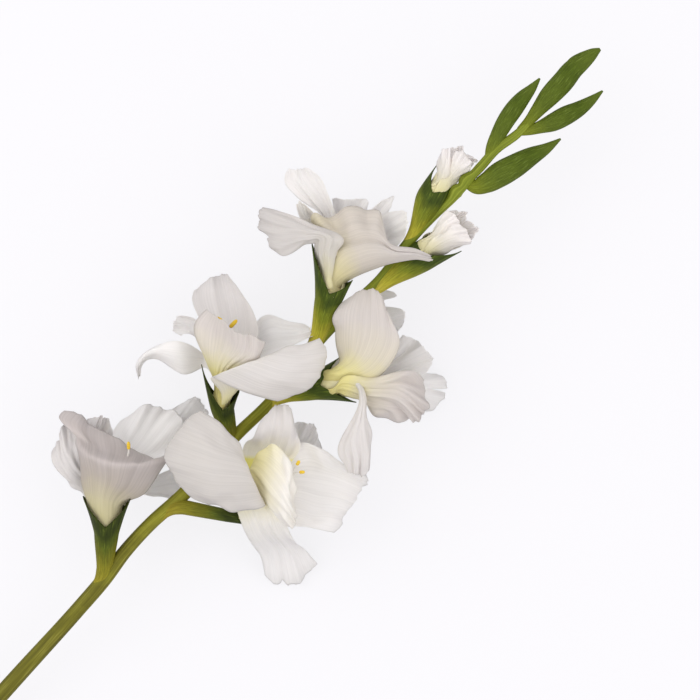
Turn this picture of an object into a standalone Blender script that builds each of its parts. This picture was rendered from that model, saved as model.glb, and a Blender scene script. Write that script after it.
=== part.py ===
"""A cut gladiolus stem lying on a table: stalk, five open florets, two opening buds and four green buds.

Lengths are millimetres until the meshes are made. +X runs along the stalk from the cut end to the tip, +Z is up.
"""
import bpy
import numpy as np
from math import cos, pi, radians, sin

PETAL_THICKNESS = 0.7
BRACT_THICKNESS = 0.9
PETAL_STEPS = (11, 7)             # points along and across a petal
BRACT_STEPS = (9, 7)
SEAT = 3.2                        # radius of the ring on which the petals of a floret stand
CLAW_SHARE = 0.5                  # how much of its width a petal keeps at its foot
TIP_ROUNDING = 0.13
TABLE = 0.45                      # lowest height of the middle of a petal
GREEN = (0.23, 0.30, 0.05, 1.0)
LEAF_GREEN = (0.10, 0.19, 0.03, 1.0)
WHITE = (0.86, 0.84, 0.84, 1.0)
CREAM = (0.82, 0.72, 0.30, 1.0)

# centre line of the stalk: x, y, z, radius
STALK = [(-445, -4, 4.6, 4.5), (-380, -4, 8.5, 4.4), (-300, -3.5, 14.5, 4.3), (-230, -2.5, 22.5, 4.1),
         (-190, -2.0, 28, 3.8), (-168, -1.2, 31, 3.8), (-150, 0.6, 33, 3.5), (-130, 0.6, 34.5, 3.4),
         (-112, -1.2, 36, 3.5), (-70, -0.5, 38.5, 3.1), (-45, -1.7, 39.7, 3.0), (-33, -1.2, 40, 3.2),
         (-6, 1.8, 41, 3.2), (20, 0.6, 42, 2.9), (35, -0.4, 42.7, 3.0), (60, 2.3, 43.8, 2.6),
         (80, 2.0, 44.8, 2.3), (97, 1.0, 45.8, 2.5), (110, 1.6, 46.4, 2.2), (122, 1.8, 46.8, 2.2),
         (135, -0.6, 47.2, 2.2), (144, -1.0, 47.4, 1.7)]

# florets: foot of the flower tube, (turn, rise) of its axis in degrees, widest half width of the tube, petals.
# a petal: rows of points (right edge, middle, left edge) from the throat to the tip.
FLORETS = {
    "floret_1": ((-150, 13, 36), (34, 25), 5.8, {
        "front": [[(-132, 19, 41), (-135, 26, 52), (-141, 32, 46)],
                  [(-116, 12, 46), (-124, 33, 66), (-134, 45, 56)],
                  [(-100, 13, 50), (-114, 33, 75), (-127, 57, 64)]],
        "left": [[(-141, 34.5, 40), (-140, 35, 43), (-135, 34, 44)],
                 [(-143, 45, 44), (-136, 48, 49), (-127, 51, 50)],
                 [(-138, 58, 48), (-129, 65, 52), (-117, 66, 50)]],
        "upper": [[(-134, 34, 38), (-130, 32, 34), (-127, 30, 34)],
                  [(-125, 52, 41), (-118, 50, 36), (-109, 42, 39)],
                  [(-124, 68, 44), (-117, 73, 40), (-107, 60, 44)]],
        "back": [[(-127, 36, 30.5), (-123, 31, 28), (-122, 27.5, 30)],
                 [(-113, 45, 23), (-105, 32, 21), (-102, 20, 26)],
                 [(-100, 47, 10), (-83, 37, 11), (-84, 22, 16)]],
        "lower": [[(-133, 18.5, 43), (-132.5, 19.5, 40), (-133, 21, 38.5)],
                  [(-121, 9, 32), (-117, 11, 24), (-112, 15, 19)],
                  [(-113, -4, 15), (-100, -3, 3), (-92, 4, 3)]],
        "far": [[(-136.5, 24.5, 34), (-135, 22, 34), (-134, 20.5, 36)],
                [(-120, 31, 18), (-119, 25, 15), (-118, 20, 17)],
                [(-92, 34, 7), (-87, 27, 5), (-88, 17, 7)],
                [(-81, 33, 1), (-69, 27, 1), (-75, 17, 2)]],
    }),
    "floret_2": ((-98, -27.5, 43.5), (-12, 40), 8.8, {
        "over": [[(-82, -33, 70), (-77, -22, 77), (-73, -11, 72)],
                 [(-97, -25, 76), (-86, -6, 85), (-71, 4, 80)],
                 [(-110, -4, 68), (-102, 22, 74), (-68, 21, 74)]],
        "centre": [[(-86, -44, 56), (-81.5, -33.5, 64), (-76, -19, 68)],
                   [(-83, -50, 62), (-75, -34, 75), (-69, -13, 76)],
                   [(-79, -55, 66), (-65, -34, 83), (-53, -17, 80)]],
        "right": [[(-82, -47, 50), (-68, -42, 46), (-58, -26, 48)],
                  [(-78, -58, 50), (-60, -52, 47), (-46, -34, 50)],
                  [(-72, -72, 40), (-52, -69, 38), (-33, -55, 38)]],
        "top": [[(-58, -20, 50), (-60, -13, 52), (-68, -8, 58)],
                [(-52, -23, 52), (-53, -13, 56), (-60, -5, 60)],
                [(-43, -26, 50), (-40, -14, 52), (-44, -3, 56)]],
        "back": [[(-60, -34, 38), (-58, -27, 38), (-60, -20, 40)],
                 [(-48, -38, 34), (-47, -29, 34), (-50, -20, 36)],
                 [(-42, -38, 30), (-37, -26, 30), (-44, -15, 33)]],
        "bottom": [[(-98, -30, 36), (-93, -36, 38), (-86, -41, 42)],
                   [(-108, -50, 20), (-97, -54, 24), (-86, -56, 28)],
                   [(-118, -65, 3), (-101, -79, 1), (-86, -76, 6)]],
    }),
    "floret_3": ((-58, 14.8, 47.5), (34, 38), 6.0, {
        "front": [[(-48, 25, 62), (-50, 29, 62), (-53, 35, 56)],
                  [(-37, 24, 72), (-44, 37, 76), (-51, 46, 62)],
                  [(-22, 19, 72), (-34, 48, 85), (-49, 55, 66)]],
        "right": [[(-17, 9, 63), (-38, 20, 71), (-57, 28, 63)],
                  [(-9, 2, 58), (-33, 3, 69), (-52, 13, 64)],
                  [(-7, -7, 52), (-28, -15, 56), (-48, -6, 52)]],
        "left": [[(-53, 35, 40), (-50, 36, 40), (-47.5, 37, 41)],
                 [(-66, 44, 44), (-58, 47, 49), (-50, 47, 50)],
                 [(-69, 57, 40), (-65, 58, 46), (-60, 57, 48)],
                 [(-81, 54, 32), (-81, 56, 34), (-78, 59, 36)]],
        "back": [[(-21, 30, 50), (-27, 35, 46), (-36, 44, 50)],
                 [(-15, 43, 46), (-24, 50, 42), (-35, 54, 48)],
                 [(-13, 57, 38), (-25, 67, 34), (-36, 63, 42)]],
        "lower": [[(-24, 22, 46), (-27, 27, 41), (-26, 31, 39)],
                  [(-15, 12, 47), (-14, 19, 41), (-15, 26, 38)],
                  [(-7, 5, 48), (-7, 12, 43), (-12, 23, 38)]],
        "far": [[(-41, 38, 38), (-45, 38, 36), (-49, 41, 38)],
                [(-42, 50, 36), (-48, 52, 33), (-52, 51, 38)],
                [(-41, 57, 36), (-48, 65, 34), (-54, 58, 38)]],
    }),
    "floret_4": ((-22, -19, 41), (-25, 12), 8.0, {
        "upper": [[(-7, -27, 55), (-7, -19, 55), (-9, -12, 46)],
                  [(8, -30, 64), (9, -14, 61), (3, -2, 48)],
                  [(23, -31, 64), (30, -8, 60), (17, 7, 50)]],
        "near": [[(-13, -35, 46), (-9, -33, 52), (-5, -28, 53)],
                 [(-11, -53, 46), (4, -45, 58), (14, -32, 60)],
                 [(-6, -66, 44), (16, -62, 55), (30, -38, 58)]],
        "far": [[(-11, -34, 36), (-8, -32, 31), (-4, -28, 29)],
                [(2, -53, 36), (8, -46, 30), (12, -38, 27)],
                [(9, -67, 34), (22, -62, 27), (27, -46, 26)]],
        "back": [[(-3, -20, 30), (-4, -17, 33), (-8, -15, 38)],
                 [(14, -18, 29), (16, -11, 31), (14, -5, 35)],
                 [(32, -26, 31), (39, -13, 34), (34, -1, 36)]],
        "tail": [[(-13, -22, 51), (-10, -24, 56), (-8, -28, 56)],
                 [(-22, -38, 57), (-18, -38, 59), (-14, -36, 58)],
                 [(-38, -41, 56), (-30, -46, 60), (-22, -49, 56)],
                 [(-47, -54, 52), (-40, -62, 54), (-32, -59, 52)]],
        "under": [[(-6, -30, 28), (-6, -24, 26), (-6, -18, 28)],
                  [(10, -38, 14), (12, -28, 11), (12, -16, 15)],
                  [(22, -44, 1), (30, -30, 1), (26, -12, 1)]],
    }),
    "floret_5": ((12, 15, 47), (32, 28), 8.0, {
        "left": [[(29, 28, 60), (32, 26, 64), (36, 27, 63)],
                 [(26, 37, 61), (31, 38, 65), (36, 38, 63)],
                 [(13, 40, 60), (20, 49, 63), (30, 52, 62)],
                 [(9, 47, 56), (12, 59, 58), (22, 71, 60)]],
        "front": [[(28, 14, 46), (26, 19, 54), (28, 26, 52)],
                  [(40, 3, 48), (38, 15, 61), (38, 28, 55)],
                  [(52, -6, 50), (47, 12, 66), (50, 28, 62)],
                  [(66, -18, 45), (51, 11, 67), (60, 26, 60)]],
        "right": [[(32, 15, 40), (31, 18, 37), (32, 21, 36)],
                  [(47, 7, 44), (48, 12, 42), (47, 18, 42)],
                  [(57, 5, 50), (70, 10, 51), (64, 20, 48)]],
        "lower": [[(34, 20, 31), (33, 26, 29), (36, 32, 32)],
                  [(53, 19, 33), (53, 29, 32), (46, 41, 36)],
                  [(73, 17, 36), (61, 32, 36), (50, 48, 38)]],
        "inner": [[(29, 34, 51), (31, 37, 49), (34, 38, 47)],
                  [(29, 43, 55), (32, 46, 53), (36, 46, 50)],
                  [(30, 51, 59), (34, 59, 57), (39, 55, 53)]],
        "top": [[(44, 36, 46), (40, 38, 43), (37, 41, 44)],
                [(50, 48, 53), (44, 52, 49), (38, 54, 51)],
                [(52, 61, 56), (43.5, 73, 54), (35, 63, 55)]],
    }),
}

# the two valves of each bract: foot on the stalk, (turn, rise), half width at foot, split and tips,
# share of the length at which they part, then for each valve its length and how far its tip leans out
BRACTS = {
    "floret_1": ((-157.5, 8, 33.6), (40, 20), (3.6, 7.8), (29.8, 11.8), (29.8, 13.4)),
    "floret_2": ((-110.5, -8.6, 37.4), (-57, 14), (3.4, 4.4), (18, 3.6), (24.4, 3.8)),
    "floret_3": ((-66.5, 6.4, 40), (46, 32), (3.6, 7.5), (36, 12.6), (16, 6.8)),
    "floret_4": ((-35, -8.8, 40.5), (-34, 4), (3.4, 6.4), (26, 13.2), (28.6, 10.6)),
    "floret_5": ((-1, 9.6, 42.2), (25, 18), (3.6, 7.6), (37, 14.6), (29, 12.4)),
    "bud_1": ((67, 8, 44.3), (12, 3), (2.2, 5.2), (30.5, 4.6), (25.5, 7.0)),
    "bud_2": ((39, -5.8, 43), (-14, 2), (1.4, 6.0), (27.5, 9.8), (36.5, 5.6)),
}

# green buds: points x, y, z with half width
BUDS = {
    "bud_3": [(99.5, -2.6, 45.6, 1.6), (106, -6.4, 45.4, 4.4), (115, -10, 45.2, 6.2), (125, -12.6, 45, 6.0),
              (135, -15.4, 45, 4.4), (143, -17.4, 45, 2.2), (148, -18.2, 45, 0.5)],
    "bud_4": [(120.5, 5.8, 47.2, 1.2), (126, 7.2, 47.6, 2.7), (133, 7.8, 48, 4.4), (142, 8.8, 48.4, 4.7),
              (151, 9.4, 48.6, 3.8), (158, 9.8, 48.6, 2.0), (163, 10, 48.6, 0.5)],
    "bud_5": [(137.5, -4.2, 46.8, 1.5), (143, -6.6, 46.6, 2.9), (151, -9.8, 46.4, 4.2), (160, -13, 46.2, 4.5),
              (169, -15.8, 46.2, 3.4), (175, -17, 46.2, 1.9), (180, -17.4, 46.2, 0.5)],
    "bud_6": [(145.6, -1.0, 47.5, 1.5), (150, -1.1, 47.6, 3.4), (158, -1.2, 47.9, 5.0), (168, -1.2, 48.2, 5.5),
              (178, -1.3, 48.4, 4.7), (188, -1.5, 48.4, 2.6), (194, -1.8, 48.4, 0.5)],
}

# opening buds: foot of the rolled petals, (turn, rise), length, half width at foot and at the mouth
ROLLED = {
    "bud_1": ((77, 9.6, 44.9), (4, 4), 34, 2.0, 8.5),
    "bud_2": ((50, -7.4, 43.5), (-7, 3), 37, 2.4, 9.6),
}

# stamens: length beyond the foot of the flower tube and how far the anthers stand apart
STAMENS = {"floret_1": (52, 2.2), "floret_2": (54, 3.2), "floret_3": (50, 3.4), "floret_4": (27, 1.6),
           "floret_5": (28, 1.6)}


def heading(turn, rise):
    """Unit vector turned from +X towards +Y and lifted towards +Z."""
    t, e = radians(turn), radians(rise)
    return np.array([cos(e) * cos(t), cos(e) * sin(t), sin(e)])


def frame_of(axis):
    """Axis with two unit vectors square to it: the upward one, and the one to its left seen from above."""
    up = np.array([0.0, 0.0, 1.0]) - axis[2] * axis
    up = up / np.linalg.norm(up)
    return axis, up, np.cross(up, axis)


def smooth(x, start, end):
    """0 before start, 1 after end, and an S-shaped rise between them."""
    t = np.clip((x - start) / (end - start), 0, 1)
    return t * t * (3 - 2 * t)


def spline(points, count):
    """Smooth line through points: each span is a cubic with the slope of its neighbours at both ends."""
    p = np.asarray(points, float)
    knots = np.concatenate([[0], np.cumsum(np.linalg.norm(np.diff(p[:, :3], axis=0), axis=1))])
    slope = np.gradient(p, knots, axis=0)
    t = np.linspace(0, knots[-1], count)
    i = np.clip(np.searchsorted(knots, t, side="right") - 1, 0, len(knots) - 2)
    span = (knots[i + 1] - knots[i])[:, None]
    u = (t - knots[i])[:, None] / span
    return ((2 * u ** 3 - 3 * u ** 2 + 1) * p[i] + (u ** 3 - 2 * u ** 2 + u) * span * slope[i]
            + (3 * u ** 2 - 2 * u ** 3) * p[i + 1] + (u ** 3 - u ** 2) * span * slope[i + 1])


def polar(points, foot, axis):
    """Height along the axis, reach from it and turn round it (from up towards left) of some points."""
    a, up, left = frame_of(axis)
    away = np.asarray(points, float) - foot
    height = away @ a
    turn = np.arctan2(away @ left, away @ up)
    return height, np.hypot(away @ left, away @ up), turn


def seats(petals, foot, axis):
    """Six even places round the flower tube, given out in the order in which the petals stand round it."""
    turns = [polar(rows[0][1], foot, axis)[2] for rows in petals.values()]
    order = np.argsort(turns)
    rank = np.argsort(order)
    step = 2 * pi / len(turns)
    start = np.mean(np.sort(turns) - step * np.arange(len(turns)))
    return start + step * rank


def petal_surface(foot, axis, seat, widest, rows, steps):
    """Petal as a net: along it splines from a ring round the axis through the rows, across it parabolas."""
    rows = np.array(rows, float)
    a, up, left = frame_of(axis)
    height, reach, turn = polar(rows[0], foot, axis)
    beside = (turn - turn[1] + pi) % (2 * pi) - pi
    drift = (turn[1] - seat + pi) % (2 * pi) - pi
    round_ring = seat + np.clip(beside, -radians(50), radians(50))
    round_tube = seat + 0.6 * drift + np.clip(beside, -radians(75), radians(75))
    e = lambda x: x[:, None]
    ring = foot + SEAT * (e(np.cos(round_ring)) * up + e(np.sin(round_ring)) * left)
    width = np.minimum(SEAT + 0.38 * (reach - SEAT), widest)
    tube = foot + e(0.45 * height) * a + e(width) * (e(np.cos(round_tube)) * up + e(np.sin(round_tube)) * left)
    net = np.concatenate([ring[None], tube[None], rows])[:, [1, 0, 2]]
    lines = spline(net.reshape(len(net), 9), 400).reshape(400, 3, 3)
    s, v = np.meshgrid(np.linspace(0, 1, steps[0]), np.linspace(-1, 1, steps[1]), indexing="ij")
    v = v * (CLAW_SHARE + (1 - CLAW_SHARE) * smooth(s, 0.25, 0.6))
    place = s * (1 - TIP_ROUNDING * v ** 4) * 399
    i = np.clip(place.astype(int), 0, 398)
    part = (place - i)[..., None]
    middle, right, left = ((1 - part) * lines[i, k] + part * lines[i + 1, k] for k in range(3))
    v = v[..., None]
    surface = right * (v * v - v) / 2 + middle * (1 - v * v) + left * (v * v + v) / 2
    lift = surface[..., 2] - TABLE
    surface[..., 2] = TABLE + (lift + np.sqrt(lift * lift + 4.0)) / 2
    return surface


def valve_surface(foot, axis, side, widths, length, lean, steps):
    """One valve of a bract: half a cone round the axis that narrows to a point and leans out at its tip."""
    a, up, across = frame_of(axis)
    s, v = np.meshgrid(np.linspace(0, 1, steps[0]), np.linspace(-1, 1, steps[1]), indexing="ij")
    radius = widths[0] + (widths[1] - widths[0]) * np.clip(s / 0.5, 0, 1) ** 0.9
    radius = radius + (lean - widths[1]) * np.clip((s - 0.4) / 0.6, 0, 1) ** 1.4
    angle = radians(72) * v * np.sqrt(np.clip(1.02 - s ** 2.6, 0, 1)) * (1 - 0.25 * s)
    out = np.cos(angle) * radius
    turn = np.sin(angle) * (radius * (1 - 0.35 * s))
    e = lambda x: x[..., None]
    return foot + e(s * length) * a + side * e(out) * across + e(turn) * up


def slab(surface, thickness):
    """Closed body of even thickness round a surface, as points and faces."""
    across = np.gradient(surface, axis=1)
    along = np.gradient(surface, axis=0)
    normal = np.cross(along, across)
    normal = normal / np.linalg.norm(normal, axis=-1, keepdims=True)
    rows, cols = surface.shape[:2]
    points = np.concatenate([(surface + normal * thickness / 2).reshape(-1, 3),
                             (surface - normal * thickness / 2).reshape(-1, 3)])
    k = np.arange(rows * cols).reshape(rows, cols)
    under = rows * cols
    a, b, c, d = k[:-1, :-1].ravel(), k[1:, :-1].ravel(), k[1:, 1:].ravel(), k[:-1, 1:].ravel()
    faces = list(zip(a, b, c, d)) + list(zip(d + under, c + under, b + under, a + under))
    edge = np.concatenate([k[:-1, 0], k[-1, :-1], k[:0:-1, -1], k[0, :0:-1]])
    ahead = np.roll(edge, -1)
    faces += list(zip(ahead, edge, edge + under, ahead + under))
    return points, faces


def tube(path, sides, flat=1.0):
    """Closed tube round a path of x, y, z, radius rows; flat makes it lower than wide."""
    path = np.asarray(path, float)
    along = np.gradient(path[:, :3], axis=0)
    along = along / np.linalg.norm(along, axis=1, keepdims=True)
    up = np.array([0.0, 0.0, 1.0]) - along[:, 2:3] * along
    up = up / np.linalg.norm(up, axis=1, keepdims=True)
    left = np.cross(up, along)
    q = 2 * pi * np.arange(sides) / sides
    ring = np.cos(q)[None, :, None] * left[:, None] + flat * np.sin(q)[None, :, None] * up[:, None]
    points = (path[:, None, :3] + path[:, None, 3:4] * ring).reshape(-1, 3)
    k = np.arange(len(path) * sides).reshape(len(path), sides)
    turn = np.roll(k, -1, axis=1)
    faces = list(zip(k[:-1].ravel(), turn[:-1].ravel(), turn[1:].ravel(), k[1:].ravel()))
    faces += [tuple(k[0][::-1]), tuple(k[-1])]
    return points, faces


def heart(root, foot, axis, reach, spread):
    """Ovary and tube core with three stamens and a style, as a list of closed tubes that run into one another."""
    a, up, left = frame_of(axis)
    core = [(*root, 1.5), (*(0.5 * root + 0.5 * foot), 2.1), (*(foot - 2 * a), 2.0), (*(foot + 4 * a), 1.6),
            (*(foot + 9 * a), 1.3)]
    tubes = [tube(spline(core, 9), 10)]
    for turn in (20, 140, 260):
        out = cos(radians(turn)) * up + sin(radians(turn)) * left
        stem = foot + 7 * a + 0.7 * out
        head = foot + (reach - 8) * a + 0.8 * spread * out
        tip = foot + reach * a + spread * out
        line = [(*stem, 0.5), (*(0.5 * (stem + head)), 0.45), (*head, 0.45), (*(head + 0.12 * (tip - head)), 0.95),
                (*(head + 0.6 * (tip - head)), 1.0), (*tip, 0.5)]
        tubes.append(tube(line, 6))
    style = [(*(foot + 7 * a), 0.6), (*(foot + reach * a), 0.5), (*(foot + (reach + 5) * a), 0.9)]
    tubes.append(tube(style, 6))
    return tubes


PARTS = []


def add(name, bodies, origin, material):
    """Keep the closed bodies of one part with its reference point until the whole stem has been measured."""
    PARTS.append((name, bodies, np.array(origin, float), material))


add("stalk", [tube(spline(STALK, 72), 14)], STALK[0][:3], "stalk_green")

for name, (foot, aim, widest, petals) in FLORETS.items():
    foot = np.array(foot, float)
    axis = heading(*aim)
    for seat, (petal, rows) in zip(seats(petals, foot, axis), petals.items()):
        surface = petal_surface(foot, axis, seat, widest, rows, PETAL_STEPS)
        add(f"{name}_petal_{petal}", [slab(surface, PETAL_THICKNESS)], foot, "petal_white")
    root = np.array(BRACTS[name][0], float) + 2 * heading(*BRACTS[name][1])
    add(f"{name}_stamens", heart(root, foot, axis, *STAMENS[name]), foot, "stamen_cream")

for name, (foot, aim, widths, one, two) in BRACTS.items():
    foot = np.array(foot, float)
    axis = heading(*aim)
    for side, word, (length, lean) in ((1, "left", one), (-1, "right", two)):
        surface = valve_surface(foot, axis, side, widths, length, lean, BRACT_STEPS)
        add(f"{name}_bract_{word}", [slab(surface, BRACT_THICKNESS)], foot, "bract_green")

for name, points in BUDS.items():
    add(name, [tube(spline(points, 16), 12, 0.72)], points[0][:3], "bud_green")

for name, (foot, aim, length, narrow, wide) in ROLLED.items():
    axis = heading(*aim)
    s = np.linspace(0, 1, 12)
    width = narrow + (wide - narrow) * smooth(s, 0.3, 1.0)
    width[-1] = wide * 0.8
    path = np.concatenate([np.array(foot) + np.outer(s * length, axis), width[:, None]], axis=1)
    add(f"{name}_petals", [tube(path, 14, 0.85)], foot, "petal_white")

COLOURS = {"stalk_green": GREEN, "bract_green": LEAF_GREEN, "bud_green": LEAF_GREEN, "petal_white": WHITE,
           "stamen_cream": CREAM}


def clear():
    """Start from an empty scene."""
    for item in list(bpy.data.objects):
        bpy.data.objects.remove(item, do_unlink=True)


def mesh_of(name, body, origin):
    """Blender mesh of one closed body, in metres from its reference point."""
    points, faces = body
    mesh = bpy.data.meshes.new(name)
    mesh.from_pydata(((points - origin) / 1000).tolist(), [], [tuple(int(i) for i in f) for f in faces])
    mesh.update()
    return mesh


def united(name, bodies, origin):
    """Mesh of several closed bodies fused into one."""
    scene = bpy.context.scene.collection
    pieces = [bpy.data.objects.new(name, mesh_of(name, body, origin)) for body in bodies]
    for piece in pieces:
        scene.objects.link(piece)
    for piece in pieces[1:]:
        fuse = pieces[0].modifiers.new("fuse", "BOOLEAN")
        fuse.operation = "UNION"
        fuse.solver = "EXACT"
        fuse.object = piece
    done = pieces[0].evaluated_get(bpy.context.evaluated_depsgraph_get())
    mesh = bpy.data.meshes.new_from_object(done)
    for piece in pieces:
        bpy.data.objects.remove(piece, do_unlink=True)
    return mesh


def main():
    clear()
    everything = np.concatenate([points for _, bodies, _, _ in PARTS for points, _ in bodies])
    low, high = everything.min(axis=0), everything.max(axis=0)
    centre = np.array([(low[0] + high[0]) / 2, (low[1] + high[1]) / 2, low[2]])
    for name, bodies, origin, slot in PARTS:
        if len(bodies) == 1:
            mesh = mesh_of(name, bodies[0], origin)
        else:
            mesh = united(name, bodies, origin)
        mesh.name = name
        mesh.polygons.foreach_set("use_smooth", [True] * len(mesh.polygons))
        body = bpy.data.objects.new(name, mesh)
        body.location = (origin - centre) / 1000
        material = bpy.data.materials.new(name + "_" + slot)
        material.use_nodes = True
        shader = material.node_tree.nodes["Principled BSDF"]
        shader.inputs["Base Color"].default_value = COLOURS[slot]
        shader.inputs["Roughness"].default_value = 0.6
        mesh.materials.append(material)
        bpy.context.scene.collection.objects.link(body)


main()
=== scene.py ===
from math import cos, pi, radians, sin

import bpy
import numpy as np
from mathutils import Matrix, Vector


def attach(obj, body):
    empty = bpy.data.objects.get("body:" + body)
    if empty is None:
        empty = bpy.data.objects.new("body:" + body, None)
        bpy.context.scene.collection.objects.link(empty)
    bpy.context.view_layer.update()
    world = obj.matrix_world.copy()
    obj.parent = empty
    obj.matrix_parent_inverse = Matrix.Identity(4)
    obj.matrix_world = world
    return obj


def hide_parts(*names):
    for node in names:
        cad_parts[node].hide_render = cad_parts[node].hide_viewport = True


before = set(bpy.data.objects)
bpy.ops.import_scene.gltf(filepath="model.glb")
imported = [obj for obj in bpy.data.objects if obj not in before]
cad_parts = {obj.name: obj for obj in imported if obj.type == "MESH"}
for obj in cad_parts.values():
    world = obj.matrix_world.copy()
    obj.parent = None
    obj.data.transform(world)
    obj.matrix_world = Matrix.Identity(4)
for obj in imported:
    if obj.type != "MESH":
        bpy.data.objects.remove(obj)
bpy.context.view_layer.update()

# ---- lengths in millimetres; +X runs along the stalk from its cut end to the tip, +Z up from the table ----
MIDDLE = np.array([-125.617, -3.379, 0.2205])   # the frame's origin, in the coordinates of the tables below
PETAL_THICKNESS = 0.35
RIM_THINNING = 0.6                # share of a petal's thickness that is gone at its rim
BRACT_THICKNESS = 0.5
PETAL_STEPS = (80, 50)            # grid of a petal, along and across
CUP_STEPS = (50, 97)              # grid of a bract, along and round
STALK_STEPS, BUD_STEPS, ROLL_STEPS = (500, 48), (120, 48), (60, 48)     # rings along, and points round
CORE_STEPS, THREAD_STEPS, SAC_STEPS = (40, 24), (30, 12), (30, 20)
BUD_FLATNESS, SAC_FLATNESS = 0.72, 0.75                       # height as a share of the width
LINE_POINTS = 400                 # points on each of a petal's three lines
TABLE = 0.3                       # lowest height of the middle of a petal
CLAW_SHARE = 0.95                 # how much of its width a petal keeps at its foot
CLAW_TURN = 0.75                  # turn from a petal's middle to its edge inside the sheath, in radians
THROAT_TURN = radians(75)         # the same in the throat, at most
WHORLS = (0.55, 1.0)              # how far inside the sheath the outer and the inner petals stand
CLEAR_OF_BRACT = 2.0              # how far past the sheath the throat starts
# the throat's ring stands this share of the way from sheath to first row, in turn, in reach and in height
THROAT_DRIFT, THROAT_SPREAD, THROAT_HEIGHT = 0.6, 0.6, 0.5
TIP_POWER = 4                     # how suddenly a petal's tip rounds off towards its corners
SIDE_WANDER, TIP_WANDER, TIP_NICKS = 0.015, 0.008, 0.003      # unevenness of a rim, as shares of the petal
# fine folds of every petal: depth, sines across and along, shift, shares where they start and are full
FINE_FOLDS = ((0.07, 11, 5, 1, 0.3, 0.7), (0.035, 31, 4, 2, 0.35, 0.8))
CUP_ROOT, CUP_END = -9, 60        # a bract's line, from inside the stalk to beyond its tips
CUP_ROOT_RADIUS = 1.2
CUP_BEND = (-6.0, 9.0)            # where the line starts and ends its turn out of the stalk
CUP_STRAIGHT = 11                 # from here on the line has turned into the bract's own axis
CUP_LINE_STEP = 0.25
ALONG_STALK = np.array([1.0, 0.0, 0.04])
VALVE_START = 0.8                 # share of the closed part from which the valves lean out
VALVE_FLATNESS = 0.25             # how much flatter than round a valve gets by its tip

# centre line of the stalk: x, y, z, radius
STALK = [(-445, -4, 4.6, 4.5), (-380, -4, 8.5, 4.4), (-300, -3.5, 14.5, 4.3), (-230, -2.5, 22.5, 4.1),
         (-190, -2.0, 28, 3.8), (-168, -1.2, 31, 3.8), (-150, 0.6, 33, 3.5), (-130, 0.6, 34.5, 3.4),
         (-112, -1.2, 36, 3.5), (-70, -0.5, 38.5, 3.1), (-45, -1.7, 39.7, 3.0), (-33, -1.2, 40, 3.2),
         (-6, 1.8, 41, 3.2), (20, 0.6, 42, 2.9), (35, -0.4, 42.7, 3.0), (60, 2.3, 43.8, 2.6),
         (80, 2.0, 44.8, 2.4), (89, 1.4, 45.3, 2.5), (93.5, 2.2, 45.5, 3.6), (97, 1.6, 45.8, 2.6),
         (101, 2.4, 46, 3.5), (105, 1.7, 46.2, 2.4), (110, 1.6, 46.4, 2.4), (122, 1.8, 46.8, 2.3),
         (135, -0.6, 47.2, 2.2), (144, -1.0, 47.4, 1.7)]

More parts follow.
